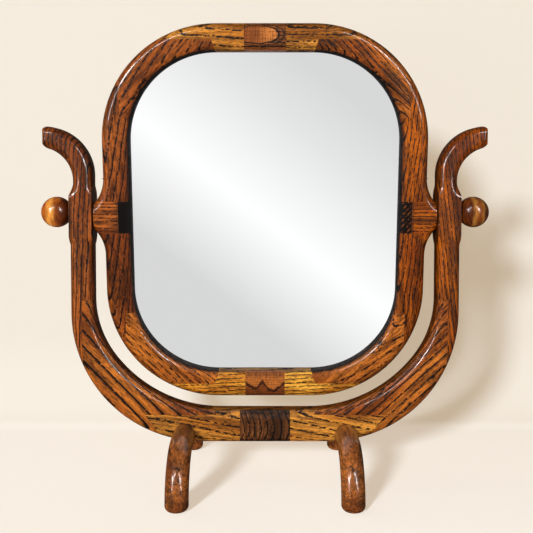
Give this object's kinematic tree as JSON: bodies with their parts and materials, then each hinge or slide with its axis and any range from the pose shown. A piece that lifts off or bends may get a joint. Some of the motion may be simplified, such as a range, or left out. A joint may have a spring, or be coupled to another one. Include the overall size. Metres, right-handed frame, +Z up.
{
  "type": "table mirror",
  "caption": "Swinging table mirror: a rounded wooden frame pivots between the horned uprights of a U-shaped stand on two arched feet.",
  "frame": {"origin": "on the table, at the middle of the four landing points of the feet, under the middle of the stand", "axes": "+X to the right seen from the front, +Y to the back, +Z up; the mirror faces -Y"},
  "size_m": [0.467, 0.187, 0.4711],
  "materials": {
    "stained_oak": "red-brown stain under gloss varnish",
    "amber_oak": "amber stain under gloss varnish",
    "dark_oak": "dark stain under gloss varnish",
    "turned_oak": "turned and gloss varnished",
    "silvered_glass": "mirror",
    "hardboard": "unfinished hardboard",
    "brass": "turned",
    "zinc_steel": "zinc plated",
    "steel": "bright steel",
    "leather": "dark hide"
  },
  "bodies": {
    "stand": {"stand_rail": "amber_oak", "stand_key": "dark_oak", "left_upright": "stained_oak", "right_upright": "stained_oak", "stand_left_block": "stained_oak", "stand_right_block": "stained_oak", "left_foot": "stained_oak", "right_foot": "stained_oak", "foot_screws": "steel"},
    "mirror": {"frame_top_rail": "amber_oak", "frame_bottom_rail": "amber_oak", "frame_left_stile": "stained_oak", "frame_right_stile": "stained_oak", "frame_top_left_block": "stained_oak", "frame_top_right_block": "stained_oak", "frame_bottom_left_block": "stained_oak", "frame_bottom_right_block": "stained_oak", "frame_top_key": "dark_oak", "frame_bottom_key": "dark_oak", "left_pivot_block": "stained_oak", "right_pivot_block": "stained_oak", "left_threaded_insert": "brass", "right_threaded_insert": "brass", "left_friction_washer": "leather", "right_friction_washer": "leather", "mirror_glass": "silvered_glass", "backing_board": "hardboard", "retaining_clips": "zinc_steel", "clip_screws": "zinc_steel"},
    "left_stud": {"left_stud": "steel"},
    "right_stud": {"right_stud": "steel"},
    "left_knob": {"left_ball_knob": "turned_oak"},
    "right_knob": {"right_ball_knob": "turned_oak"}
  },
  "joints": [
    {"name": "mirror_tilt", "type": "hinge", "parent": "stand", "child": "mirror", "pos_m": [0, 0, 0.28], "axis": [1, 0, 0], "continuous": true},
    {"name": "left_stud_travel", "type": "slide", "parent": "mirror", "child": "left_stud", "axis": [-1, 0, 0], "range_m": [0, 0.002]},
    {"name": "left_knob_turn", "type": "hinge", "parent": "left_stud", "child": "left_knob", "pos_m": [-0.2173, 0, 0.28], "axis": [-1, 0, 0], "range_deg": [0, 720]},
    {"name": "right_stud_travel", "type": "slide", "parent": "mirror", "child": "right_stud", "axis": [1, 0, 0], "range_m": [0, 0.002]},
    {"name": "right_knob_turn", "type": "hinge", "parent": "right_stud", "child": "right_knob", "pos_m": [0.2173, 0, 0.28], "axis": [1, 0, 0], "range_deg": [0, 720]}
  ],
  "couplings": [
    {"joint": "left_knob_turn", "follows": "left_stud_travel", "rad_per_m": 6283.2},
    {"joint": "right_knob_turn", "follows": "right_stud_travel", "rad_per_m": 6283.2}
  ]
}
